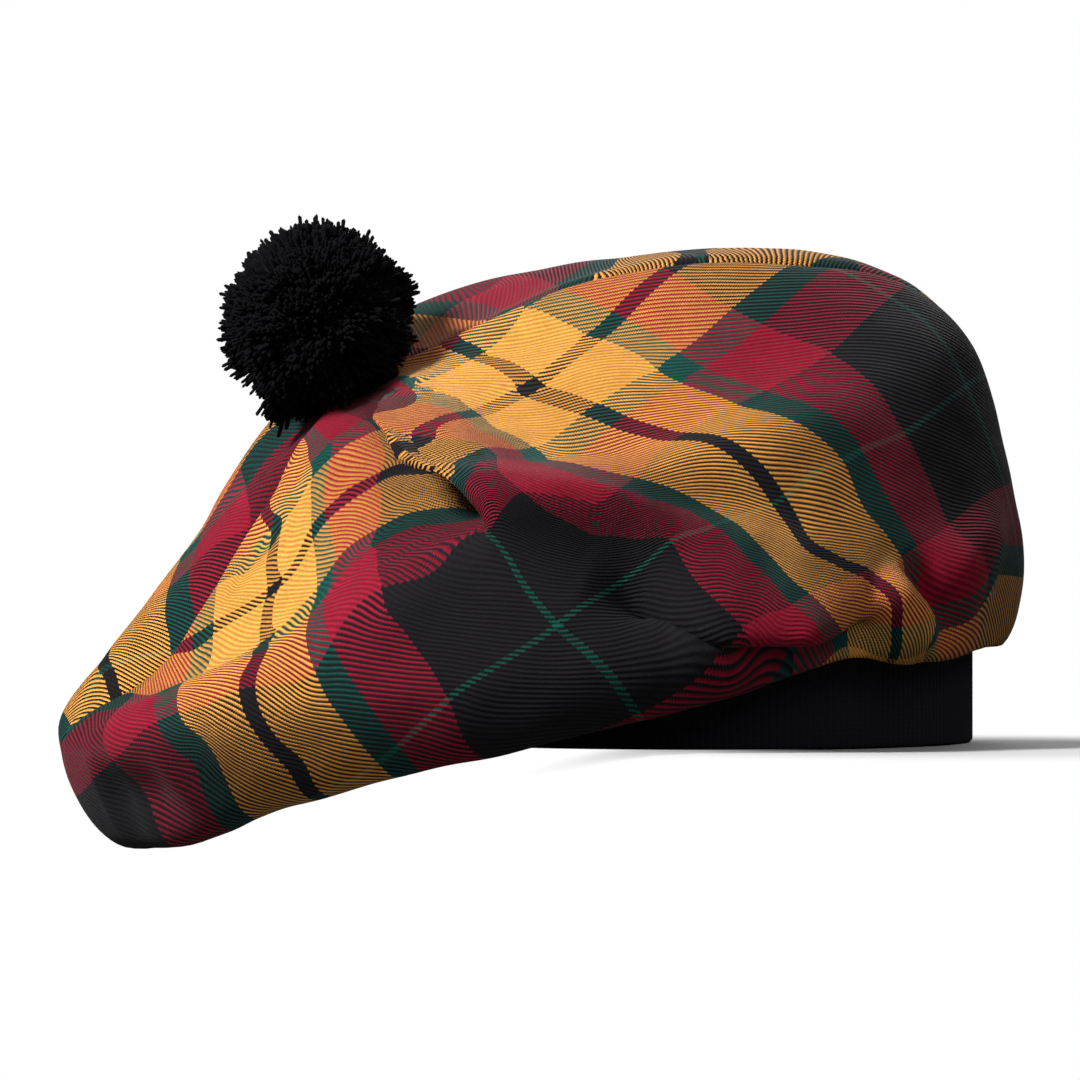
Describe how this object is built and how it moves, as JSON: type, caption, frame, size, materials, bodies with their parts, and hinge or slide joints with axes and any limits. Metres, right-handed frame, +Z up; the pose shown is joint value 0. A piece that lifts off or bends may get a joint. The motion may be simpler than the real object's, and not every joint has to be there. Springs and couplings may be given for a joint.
{
  "type": "tam o shanter",
  "caption": "Wide soft tartan twill cap gathered into a ribbed knitted headband, its crown slumped to one side, with a round yarn pompom on the centre seam.",
  "frame": {"origin": "middle of the headband's foot, where a head enters the cap", "axes": "+Z up through the head, +X to the right and -Y to the front as the picture shows the cap"},
  "size_m": [0.2896, 0.2596, 0.1893],
  "materials": {
    "tartan_twill": "matt wool-like twill, tartan in yellow, crimson, green and black",
    "headband_knit": "matt black rib knit",
    "pompom_yarn": "matt black cut yarn"
  },
  "bodies": {
    "root": {"crown_front_panel": "tartan_twill", "crown_back_panel": "tartan_twill", "headband": "headband_knit", "pompom": "pompom_yarn", "pompom_tie": "pompom_yarn"}
  },
  "joints": []
}
